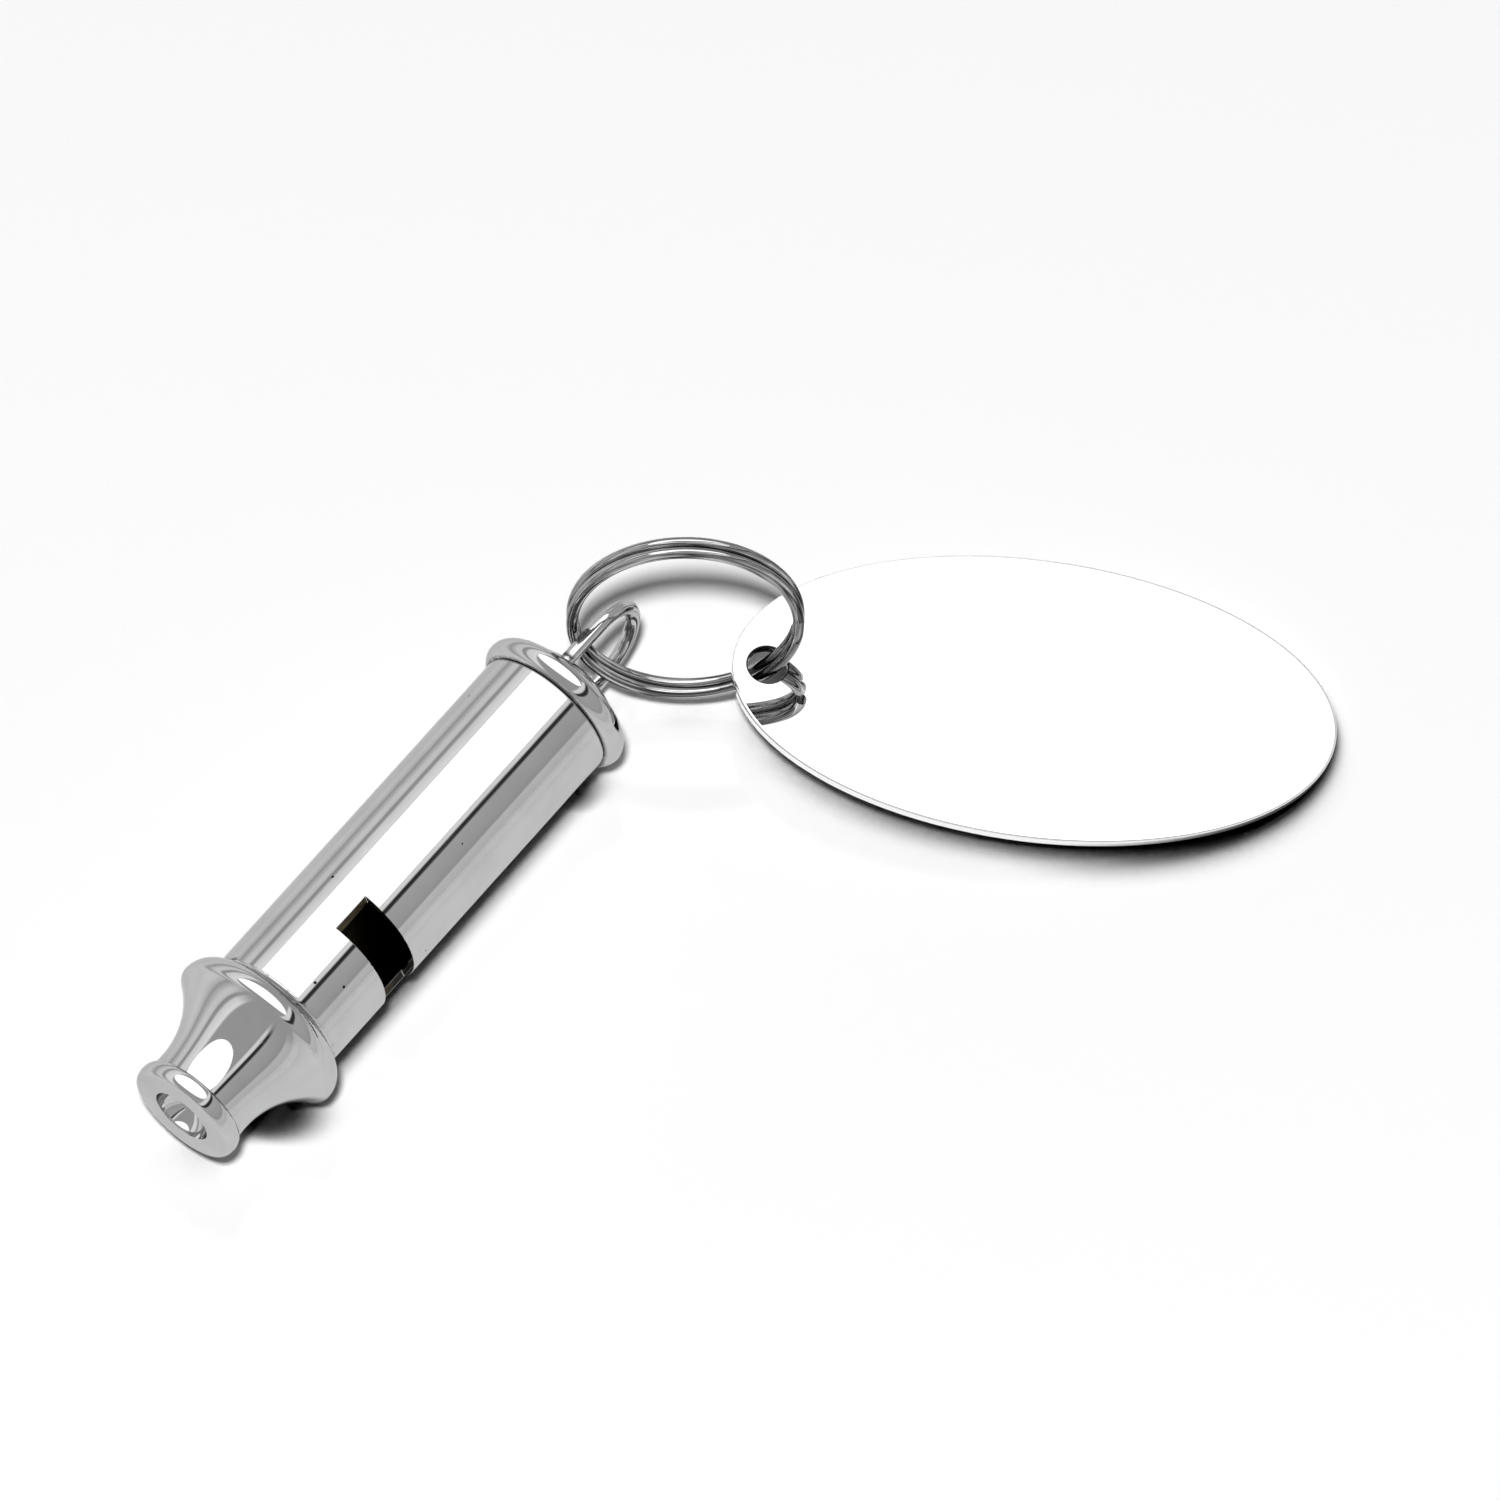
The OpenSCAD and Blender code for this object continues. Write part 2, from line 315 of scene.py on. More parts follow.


# polished metal: a bright base with smears, hairlines, waves, and black in its pits, seams and draw lines,
# the draw lines partly painted dark reflections; bright lines along a wire are painted highlights
def polishedMetal(name, look):
    material, tree, shader, place = newMaterial(name)
    shader.inputs["Metallic"].default_value = 1.0
    shader.inputs["Specular Tint"].default_value = (*look["edgeTint"], 1.0)
    marks = placeGroup(tree, polishMarks, place, Smear_Size=look["smearSize"],
                       Hairline_Size=look["hairlineSize"], Wave_Size=look["waveSize"])
    tint = mixColour(tree, marks.outputs["Smear"], look["bright"], look["dull"])
    grimeAndDarkReflection = mathNode(tree, "MULTIPLY", marks.outputs["Pit"], look["pits"])
    along = addNode(tree, "ShaderNodeSeparateXYZ")
    tree.links.new(place, along.inputs["Vector"])
    joints = [(along.outputs["X"], *seam) for seam in look.get("seams", [])]
    joints += [(fromLeg(tree, place, leg[:2]), *leg[2:]) for leg in look.get("legs", [])]
    for where, station, reach, cover in joints:
        seam = placeGroup(tree, seamGrime, place, Station=station * mm, Reach=reach * mm, Cover=cover)
        tree.links.new(where, seam.inputs["Place"])
        grimeAndDarkReflection = mathNode(tree, "MAXIMUM", grimeAndDarkReflection, seam.outputs["Mask"])
    # bright lines along the wire: painted highlights
    if "highlightLines" in look:
        tint = mixColour(tree, wireLines(tree, place, look["highlightLines"]), tint, look["highlightLines"]["tint"])
    # dark lines along the wire, partly die marks and partly painted dark reflections
    if "drawn" in look:
        grimeAndDarkReflection = mathNode(tree, "MAXIMUM", grimeAndDarkReflection, wireLines(tree, place, look["drawn"]))
    tree.links.new(mixColour(tree, grimeAndDarkReflection, tint, look["grimeAndDarkReflection"]), shader.inputs["Base Color"])
    rough = mathNode(tree, "MULTIPLY_ADD", marks.outputs["Smear"], look["smearRough"], look["rough"])
    rough = mathNode(tree, "MULTIPLY_ADD", marks.outputs["Hairline"], look["hairlineRough"], rough)
    rough = mathNode(tree, "MULTIPLY_ADD", grimeAndDarkReflection, look["grimeRough"], rough)
    tree.links.new(rough, shader.inputs["Roughness"])
    height = mathNode(tree, "MULTIPLY_ADD", marks.outputs["Hairline"], -look["hairlineDepth"],
                      mathNode(tree, "MULTIPLY", marks.outputs["Wave"], look["waveHeight"]))
    if "bow" in look:
        height = mathNode(tree, "ADD", height, bowHeight(tree, place, look["bow"]))
    bump = setInputs(addNode(tree, "ShaderNodeBump"), Strength=1.0, Distance=mm)
    tree.links.new(height, bump.inputs["Height"])
    tree.links.new(bump.outputs["Normal"], shader.inputs["Normal"])
    return material


# seams: station along X, how far the black reaches, how much of it is filled
plate = {
    "bright": (0.57, 0.57, 0.573), "dull": (0.52, 0.52, 0.523), "grimeAndDarkReflection": (0.02, 0.02, 0.02),
    "edgeTint": (0.7, 0.7, 0.7),
    "rough": 0.035, "smearRough": 0.035, "hairlineRough": 0.05, "grimeRough": 0.4,
    "smearSize": 210.0, "hairlineSize": 1500.0, "waveSize": 230.0, "pits": 1.0,
    "hairlineDepth": 0.0002, "waveHeight": 0.006,
    "seams": [(tubeLow.x, 0.3, 0.42), (tubeHigh.x, 0.2, 0.72)],
}
nickelPlate = polishedMetal("nickelPlate", plate)
springSteel = polishedMetal("springSteel", {
    "bright": (0.36, 0.36, 0.363), "dull": (0.2, 0.2, 0.203), "grimeAndDarkReflection": (0.012, 0.012, 0.012),
    "edgeTint": (0.6, 0.6, 0.6),
    "rough": 0.04, "smearRough": 0.05, "hairlineRough": 0.06, "grimeRough": 0.1,
    "smearSize": 420.0, "hairlineSize": 2200.0, "waveSize": 900.0, "pits": 0.0,
    "hairlineDepth": 0.0006, "waveHeight": 0.004,
    # dark lines along the wire: partly die marks, partly painted dark reflections
    "drawn": {"share": 0.97, "width": 0.06, "spread": 1.7},
    # bright lines along the wire: painted highlights
    "highlightLines": {"share": 0.8, "width": 0.07, "spread": 2.0, "tint": (0.85, 0.85, 0.853)}})
mirror = {
    "bright": (0.6, 0.6, 0.603), "dull": (0.57, 0.57, 0.573), "grimeAndDarkReflection": (0.02, 0.02, 0.02),
    "edgeTint": (1.0, 1.0, 1.0),
    "rough": 0.012, "smearRough": 0.016, "hairlineRough": 0.03, "grimeRough": 0.0,
    "smearSize": 120.0, "hairlineSize": 1300.0, "waveSize": 90.0, "pits": 0.0,
    "hairlineDepth": 0.0001, "waveHeight": 0.006,
}


# tarnished brass: what the plating never reached, inside the tube
tarnish = {
    "dark": (0.012, 0.011, 0.009), "warm": (0.075, 0.058, 0.03), "rough": 0.42, "warmRough": -0.15,
    "patchSize": 500.0, "patchDetail": 6.0, "patchStops": [(0.35, 0.0), (0.7, 1.0)],
    "bump": 0.3, "bumpHeight": 0.02,
}


def tarnishedBrass(look):
    material, tree, shader, place = newMaterial("tarnishedBrass")
    shader.inputs["Metallic"].default_value = 1.0
    patches = noiseNode(tree, place, look["patchSize"], Detail=look["patchDetail"])
    spread = rampNode(tree, patches, look["patchStops"])
    tree.links.new(mixColour(tree, spread, look["dark"], look["warm"]), shader.inputs["Base Color"])
    rough = mathNode(tree, "MULTIPLY_ADD", spread, look["warmRough"], look["rough"])
    tree.links.new(rough, shader.inputs["Roughness"])
    bump = setInputs(addNode(tree, "ShaderNodeBump"), Strength=look["bump"], Distance=look["bumpHeight"] * mm)
    tree.links.new(patches, bump.inputs["Height"])
    tree.links.new(bump.outputs["Normal"], shader.inputs["Normal"])
    return material


tubeInside = tarnishedBrass(tarnish)
print("finishes mixed")


# meshes
def finishMesh(name, bm, creaseAngle):
    mesh = bpy.data.meshes.new(name)
    bm.to_mesh(mesh)
    bm.free()
    mesh.shade_smooth()
    if creaseAngle:
        mesh.set_sharp_from_angle(angle=math.radians(creaseAngle))
    return mesh


def addPiece(name, mesh, materials, body, slotName, *nodes):
    for material in materials:
        mesh.materials.append(material)
    piece = bpy.data.objects.new(name, mesh)
    scene.collection.objects.link(piece)
    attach(piece, body)
    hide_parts(*nodes)
    print(name, "made,", len(mesh.polygons), "faces")


def arc(centre, radius, start, end, steps):   # of a profile: stations and radii, degrees from +X
    angles = [math.radians(start + (end - start) * i / steps) for i in range(steps + 1)]
    return [(centre[0] + radius * math.cos(a), centre[1] + radius * math.sin(a)) for a in angles]


samePoint = 1e-5         # millimetres, within which two points of a profile are one
onAxis = 1e-6            # and within which a point lies on the axis


def turnedMesh(name, profile, segments, closed, creaseAngle):
    points = [p for p, q in zip(profile, profile[1:] + profile[:1]) if math.dist(p, q) > samePoint]
    bm = bmesh.new()
    turns = [2 * math.pi * i / segments for i in range(segments)]
    rings = []
    for station, radius in points:
        angles = turns if radius > onAxis else [0.0]
        rings.append([bm.verts.new((station * mm, radius * math.cos(a) * mm, radius * math.sin(a) * mm))
                      for a in angles])
    for near, far in zip(rings, rings[1:] + (rings[:1] if closed else [])):
        for i in range(segments):
            j = (i + 1) % segments
            ring = [near[i % len(near)], near[j % len(near)], far[j % len(far)], far[i % len(far)]]
            corners = list(dict.fromkeys(ring))
            if len(corners) > 2:
                bm.faces.new(corners)
    bmesh.ops.recalc_face_normals(bm, faces=bm.faces)
    return finishMesh(name, bm, creaseAngle)


# mouthpiece: lip, hollow flare, collar and shoulder, turned from one bar
mouthpiece = {
    "lipD": 10.2, "lipThick": 1.7, "lipCrown": 0.4, "lipTurn": 80, "waistD": 9.2, "waistAt": 2.8,
    "collarEdge": 1.2, "shoulderR": 2.0, "fillet": 0.5, "blowD": 3.6, "cupD": 5.4, "cupR": 2.72,
    "seatR": 5.53, "chestR": 4.98, "segments": 192, "crease": 20,
    "steps": {"cup": 24, "lip": 40, "flare": 64, "edge": 16, "shoulder": 28, "fillet": 12},
}


def makeMouthpiece(m):
    seatX = tubeLow.x
    barrelR = tubeHigh.z
    edgeR = m["collarEdge"] / 2
    edgeAt = mouthHigh.z - edgeR
    shoulderAt = mouthHigh.z - m["shoulderR"]
    filletAt = barrelR + m["fillet"]
    back = math.sqrt((m["shoulderR"] + m["fillet"]) ** 2 - (filletAt - shoulderAt) ** 2)
    collarX = seatX - back
    run, rise = collarX - m["waistAt"], edgeAt - m["waistD"] / 2
    flareR = (run ** 2 + rise ** 2 - edgeR ** 2) / (2 * (rise + edgeR))
    flareAt = (m["waistAt"], m["waistD"] / 2 + flareR)
    flareFrom = 270 - math.degrees(math.asin((m["waistAt"] - m["lipThick"]) / flareR))
    flareTo = 360 + math.degrees(math.atan2(edgeAt - flareAt[1], run))
    shoulderTo = math.degrees(math.atan2(filletAt - shoulderAt, back))
    blowR, cupR = m["blowD"] / 2, m["cupR"]
    cupAt = -math.sqrt(cupR ** 2 - (m["cupD"] / 2) ** 2)
    cupFrom = math.degrees(math.asin(blowR / cupR))
    cupTo = math.degrees(math.asin(m["cupD"] / 2 / cupR))
    steps = m["steps"]
    profile = arc((cupAt, 0), cupR, cupFrom, cupTo, steps["cup"])
    lipAt = m["lipD"] / 2 - m["lipCrown"]
    for station, height in arc((1, 0), 1, 180, 90 - m["lipTurn"], steps["lip"]):     # broad, gently crowned
        profile.append((station * m["lipThick"] / 2, lipAt + height * m["lipCrown"]))
    profile += arc(flareAt, flareR, flareFrom, flareTo, steps["flare"])
    profile += arc((collarX, edgeAt), edgeR, flareTo - 180, 90, steps["edge"])
    profile += arc((collarX, shoulderAt), m["shoulderR"], 90, shoulderTo, steps["shoulder"])
    profile += arc((seatX, filletAt), m["fillet"], shoulderTo - 180, -90, steps["fillet"])
    profile += [(seatX, m["seatR"]), (mouthHigh.x, m["seatR"]), (mouthHigh.x, m["chestR"]),
                (collarX, m["chestR"]), (collarX, blowR)]
    mesh = turnedMesh("mouthpieceTurned", profile, m["segments"], True, m["crease"])
    addPiece("mouthpieceTurned", mesh, [nickelPlate], "whistle", "nickel_plate", "mouthpiece")


makeMouthpiece(mouthpiece)

# barrel: drawn tube with a saw cut across each side
barrel = {
    "wall": 0.7, "windowFrom": 6.9, "windowWidth": 3.8, "windowDepth": 2.9, "backDepth": 1.4,
    "windowRoll": 68, "edge": 0.07, "edgeSteps": 2, "edgeFrom": 45, "windowSteps": 64, "wallSteps": 40,
    "crease": 12,
    # how near to the bore, to a cut's depth and to its direction a face has to be to stay unplated
    "boreSlack": 0.02, "cutSlack": 0.03, "cutFacing": 0.99,
}


def makeBarrel(b):
    outR = tubeHigh.z
    inR = outR - b["wall"]
    flats = [outR - b["windowDepth"], outR - b["backDepth"]]    # of the front cut and the back cut
    roll = math.radians(b["windowRoll"])
    cutWay = Vector((0, -math.sin(roll), math.cos(roll)))
    windowX = tubeLow.x + b["windowFrom"]
    stations = [tubeLow.x, windowX, windowX + b["windowWidth"], tubeHigh.x]

    def columns(radius):
        front, rear = [math.acos(flat / radius) for flat in flats]
        between = math.pi - front - rear
        angles = []
        for side, half in ((0, front), (math.pi, rear)):
            angles += [side - half + 2 * half * i / b["windowSteps"] for i in range(b["windowSteps"])]
            angles += [side + half + between * i / b["wallSteps"] for i in range(b["wallSteps"])]
        return angles

    bm = bmesh.new()

    def grid(radius):
        return [[bm.verts.new((x * mm, -radius * math.sin(roll + a) * mm, radius * math.cos(roll + a) * mm))
                 for a in columns(radius)] for x in stations]

    outer, inner = grid(outR), grid(inR)
    count = 2 * (b["windowSteps"] + b["wallSteps"])
    half = count // 2
    for row in range(3):
        for c in range(count):
            d = (c + 1) % count
            if row == 1 and c % half < b["windowSteps"]:
                for edge in (1, 2):          # the two sawn faces of a window
                    bm.faces.new((outer[edge][c], outer[edge][d], inner[edge][d], inner[edge][c]))
                continue
            for skin in (outer, inner):
                bm.faces.new((skin[row][c], skin[row][d], skin[row + 1][d], skin[row + 1][c]))
    for row in (0, 3):
        for c in range(count):
            d = (c + 1) % count
            bm.faces.new((outer[row][c], outer[row][d], inner[row][d], inner[row][c]))
    for side in (0, half):
        for c in (side, side + b["windowSteps"]):   # the ends of a window, along the tube
            bm.faces.new((outer[1][c], outer[2][c], inner[2][c], inner[1][c]))
    bmesh.ops.recalc_face_normals(bm, faces=bm.faces)
    sharp = [e for e in bm.edges if e.calc_face_angle() > math.radians(b["edgeFrom"])]
    bmesh.ops.bevel(bm, geom=sharp, offset=b["edge"] * mm, segments=b["edgeSteps"], profile=0.5,
                    affect="EDGES", clamp_overlap=True)
    for face in bm.faces:
        middle = face.calc_center_median()
        inside = math.hypot(middle.y, middle.z) < (inR + b["boreSlack"]) * mm
        depth = middle.dot(cutWay)
        flat = flats[0] if depth > 0 else flats[1]
        facing = abs(face.normal.dot(cutWay)) > b["cutFacing"]
        sawnEnd = facing and abs(abs(depth) - flat * mm) < b["cutSlack"] * mm
        face.material_index = 1 if inside or sawnEnd else 0
    mesh = finishMesh("barrelTube", bm, b["crease"])
    addPiece("barrelTube", mesh, [nickelPlate, tubeInside], "whistle", "nickel_plate", "barrel")


makeBarrel(barrel)

# eye: one wire, two legs in the cap and a round bend
eye = {
    "wire": 1.3, "span": 8.8, "roll": 88, "bendSteps": 48, "sides": 40, "waveSize": 700.0,
    # dark lines along the wire: partly die marks, partly painted dark reflections
    "drawn": {"share": 0.8, "width": 0.02, "spread": 1.9},
    "rootReach": 0.4, "rootCover": 0.58,         # of the black where its legs leave the cap
}
eyeLean = Matrix.Rotation(math.radians(eye["roll"]), 3, "X")

# cap: a round bead on the tube's end, a crease, and a low dome that takes the eye's legs
cap = {
    "seatR": 5.53, "beadThick": 2.4, "tuck": 0.1, "creaseTurn": 14, "beadSteps": 44, "domeSteps": 40,
    "segments": 192, "crease": 20, "waveHeight": 0.012, "solder": 0.42, "solderCover": 0.52,
}


def makeCap(c):
    beadR = c["beadThick"] / 2
    beadAt = (tubeHigh.x + beadR, capHigh.z - beadR)
    domeHeight = capHigh.x - tubeHigh.x - c["beadThick"]
    domeR = (beadAt[1] ** 2 + domeHeight ** 2) / (2 * domeHeight)
    legR = eye["span"] / 2
    legs = [eyeLean @ Vector((0, side * legR, 0)) for side in (-1, 1)]
    solder = [(leg.y, leg.z, eye["wire"] / 2, c["solder"], c["solderCover"]) for leg in legs]
    capPlate = polishedMetal("capPlate", plate | {"waveHeight": c["waveHeight"], "legs": solder})
    beadFrom = 180 - math.degrees(math.asin((tubeHigh.z - c["tuck"] - beadAt[1]) / beadR))
    bead = arc(beadAt, beadR, beadFrom, -c["creaseTurn"], c["beadSteps"])
    creaseR = bead[-1][1]
    domeFrom = math.degrees(math.asin(creaseR / domeR))
    dome = arc((capHigh.x - domeR, 0), domeR, domeFrom, 0, c["domeSteps"])
    profile = [(capLow.x, 0), (capLow.x, c["seatR"]), (bead[0][0], c["seatR"])] + bead + dome
    profile[-1] = (capHigh.x, 0)
    mesh = turnedMesh("capTurned", profile, c["segments"], False, c["crease"])
    addPiece("capTurned", mesh, [capPlate], "whistle", "nickel_plate", "cap")
    return capHigh.x - domeR + math.sqrt(domeR ** 2 - legR ** 2)


legRoot = makeCap(cap)       # where the legs leave the dome


# trees: their start, with named inputs, and their end, with real geometry and a finish
def newTree(name, inputs, output):
    tree = bpy.data.node_groups.new(name, "GeometryNodeTree")
    for label, kind in inputs:
        tree.interface.new_socket(label, in_out="INPUT", socket_type="NodeSocket" + kind)
    tree.interface.new_socket(output, in_out="OUTPUT", socket_type="NodeSocketGeometry")
    return tree, addNode(tree, "NodeGroupInput"), addNode(tree, "NodeGroupOutput")


def endTree(tree, source, material, target):
    real = addNode(tree, "GeometryNodeRealizeInstances")
    finish = addNode(tree, "GeometryNodeSetMaterial")
    tree.links.new(source, real.inputs["Geometry"])
    tree.links.new(real.outputs["Geometry"], finish.inputs["Geometry"])
    tree.links.new(material, finish.inputs["Material"])
    tree.links.new(finish.outputs["Geometry"], target)


# wire sweep: the tree that draws a round wire along a path, for the eye and the ring
wireInputs = [("Wire Diameter", "Float"), ("Sides", "Int"), ("Finish", "Material")]
wireCrease = 50          # degrees, so that only a wire's cut ends are sharp


def makeWireSweep():
    tree, given, out = newTree("wireSweep", [("Path", "Geometry"), *wireInputs], "Wire")
    link = tree.links.new
    section = addNode(tree, "GeometryNodeCurvePrimitiveCircle")
    link(mathNode(tree, "MULTIPLY", given.outputs["Wire Diameter"], 0.5), section.inputs["Radius"])
    link(given.outputs["Sides"], section.inputs["Resolution"])
    spot = addNode(tree, "GeometryNodeInputPosition").outputs["Position"]
    keep = addNode(tree, "GeometryNodeStoreNamedAttribute", data_type="FLOAT_VECTOR", domain="POINT")
    keep.inputs["Name"].default_value = "around"       # the place round the wire, for the draw lines
    link(vectorNode(tree, "NORMALIZE", spot), keep.inputs["Value"])
    link(section.outputs["Curve"], keep.inputs["Geometry"])
    sweep = addNode(tree, "GeometryNodeCurveToMesh")
    sweep.inputs["Fill Caps"].default_value = True
    link(given.outputs["Path"], sweep.inputs["Curve"])
    link(keep.outputs["Geometry"], sweep.inputs["Profile Curve"])
    smooth = addNode(tree, "GeometryNodeSetShadeSmooth")
    link(sweep.outputs["Mesh"], smooth.inputs["Geometry"])
    endTree(tree, smooth.outputs["Geometry"], given.outputs["Finish"], out.inputs["Wire"])
    return tree


wireSweep = makeWireSweep()


def grownMesh(name, start, tree, values):     # what a tree makes, as a plain mesh
    carrier = bpy.data.objects.new(name, start)
    scene.collection.objects.link(carrier)
    modifier = carrier.modifiers.new("grow", "NODES")
    modifier.node_group = tree
    for socket in tree.interface.items_tree:
        if socket.in_out == "INPUT" and socket.name in values:
            modifier[socket.identifier] = values[socket.name]
    grown = carrier.evaluated_get(bpy.context.evaluated_depsgraph_get())
    mesh = bpy.data.meshes.new_from_object(grown)
    mesh.name = name
    bpy.data.objects.remove(carrier)
    mesh.materials.clear()
    mesh.set_sharp_from_angle(angle=math.radians(wireCrease))
    return mesh


def makeEye(e):
    root = (legRoot, e["rootReach"], e["rootCover"])
    eyePlate = polishedMetal("eyePlate", plate | {
        "waveSize": e["waveSize"], "drawn": e["drawn"], "seams": [root]})
    bendR = e["span"] / 2
    bendX = eyeHigh.x - e["wire"] / 2 - bendR
    bend = [math.radians(-90 + 180 * i / e["bendSteps"]) for i in range(e["bendSteps"] + 1)]
    path = [(eyeLow.x, -bendR)]
    path += [(bendX + bendR * math.cos(a), bendR * math.sin(a)) for a in bend]
    path += [(eyeLow.x, bendR)]
    line = bpy.data.curves.new("eyePath", "CURVE")
    line.dimensions = "3D"
    spline = line.splines.new("POLY")
    spline.points.add(len(path) - 1)
    for point, (x, across) in zip(spline.points, path):
        point.co = (*(eyeLean @ Vector((x, across, 0)) * mm), 1.0)
    mesh = grownMesh("eyeWire", line, wireSweep,
                     {"Wire Diameter": e["wire"] * mm, "Sides": e["sides"], "Finish": eyePlate})
    addPiece("eyeWire", mesh, [eyePlate], "whistle", "nickel_plate", "eye")


makeEye(eye)

# split ring: two turns of spring wire lying on each other, with a step between them
splitRing = {"diameter": 20.0, "wire": 1.0, "gap": 0.06, "stepAngle": 15, "stepAt": -4, "hand": -1,
             "pathPoints": 420, "sides": 24, "tipTaper": 0.8, "tipShare": 0.006}


def makeRingTree():
    sizes = [("Radius", "Float"), ("Pitch", "Float"), ("Step", "Float"), ("Points", "Int"),
             ("Tip Taper", "Float"), ("Tip Share", "Float")]
    tree, given, out = newTree("splitRingPath", sizes + wireInputs, "Ring")
    link = tree.links.new
    line = addNode(tree, "GeometryNodeCurvePrimitiveLine")
    points = addNode(tree, "GeometryNodeResampleCurve")
    link(line.outputs["Curve"], points.inputs["Curve"])
    link(given.outputs["Points"], points.inputs["Count"])
    along = addNode(tree, "GeometryNodeSplineParameter").outputs["Factor"]
    halfStep = mathNode(tree, "MULTIPLY", given.outputs["Step"], 0.5)
    length = mathNode(tree, "SUBTRACT", 4 * math.pi, given.outputs["Step"])
    angle = mathNode(tree, "MULTIPLY_ADD", along, length, halfStep)
    climb = addNode(tree, "ShaderNodeMapRange", interpolation_type="SMOOTHSTEP")
    climb.inputs["To Min"].default_value = -0.5
    climb.inputs["To Max"].default_value = 0.5
    link(angle, climb.inputs["Value"])
    link(mathNode(tree, "SUBTRACT", 2 * math.pi, halfStep), climb.inputs["From Min"])
    link(mathNode(tree, "ADD", 2 * math.pi, halfStep), climb.inputs["From Max"])
    place = addNode(tree, "ShaderNodeCombineXYZ")
    for axis, wave in (("X", "COSINE"), ("Y", "SINE")):
        swing = mathNode(tree, wave, angle)
        link(mathNode(tree, "MULTIPLY", swing, given.outputs["Radius"]), place.inputs[axis])
    link(mathNode(tree, "MULTIPLY", climb.outputs["Result"], given.outputs["Pitch"]), place.inputs["Z"])
    wind = addNode(tree, "GeometryNodeSetPosition")
    link(points.outputs["Curve"], wind.inputs["Geometry"])
    link(place.outputs["Vector"], wind.inputs["Position"])
    # the cut ends are ground down a little
    toEnd = mathNode(tree, "MINIMUM", along, mathNode(tree, "SUBTRACT", 1.0, along))
    taper = addNode(tree, "ShaderNodeMapRange", interpolation_type="SMOOTHSTEP")
    link(toEnd, taper.inputs["Value"])
    link(given.outputs["Tip Share"], taper.inputs["From Max"])
    link(given.outputs["Tip Taper"], taper.inputs["To Min"])
    radius = addNode(tree, "GeometryNodeSetCurveRadius")
    link(wind.outputs["Geometry"], radius.inputs["Curve"])
    link(taper.outputs["Result"], radius.inputs["Radius"])
    sweep = addNode(tree, "GeometryNodeGroup", node_tree=wireSweep)
    link(radius.outputs["Curve"], sweep.inputs["Path"])
    for label, kind in wireInputs:
        link(given.outputs[label], sweep.inputs[label])
    endTree(tree, sweep.outputs["Wire"], given.outputs["Finish"], out.inputs["Ring"])
    return tree


def makeRing(r):
    start = bpy.data.meshes.new("ringStart")
    mesh = grownMesh("splitRingWire", start, makeRingTree(), {
        "Radius": (r["diameter"] - r["wire"]) / 2 * mm, "Pitch": r["hand"] * (r["wire"] + r["gap"]) * mm,
        "Step": math.radians(r["stepAngle"]), "Points": r["pathPoints"], "Tip Taper": r["tipTaper"],
        "Tip Share": r["tipShare"], "Wire Diameter": r["wire"] * mm, "Sides": r["sides"],
        "Finish": springSteel})
    centre = Vector(mounts["key_loop"]["pos_m"])
    normal = Vector(mounts["key_loop"]["axis"]).normalized()
    level = normal.cross(Vector((0, 0, 1))).normalized()
    level *= math.copysign(1, level.dot(tagHold - centre))
    up = normal.cross(level)
    stand = Matrix((level, up, normal)).transposed().to_4x4()
    spin = Matrix.Rotation(math.radians(r["stepAt"]), 4, "Z")
    mesh.transform(Matrix.Translation(centre) @ stand @ spin)
    addPiece("splitRingWire", mesh, [springSteel], "ring", "spring_steel", "split_ring")


makeRing(splitRing)

# tag: an oval plate, its edge rounded by tumbling, mirror polished on both faces
tag = {"length": 51.5, "width": 26.6, "thick": 1.0, "holeD": 3.4, "round": 0.22,
       "holeRound": 0.14, "roundSteps": 5, "steps": 360,
       "bow": {"slope": 0.14, "reach": 16.0, "blend": 8.0},
       # edgeTint is a painted highlight, a brighter copy of the mirror finish for the edge; the bore's
       # near-black copy is painted shade inside the hole
       "edgeTint": (0.95, 0.95, 0.953), "borePaintedShade": (0.05, 0.05, 0.05)}


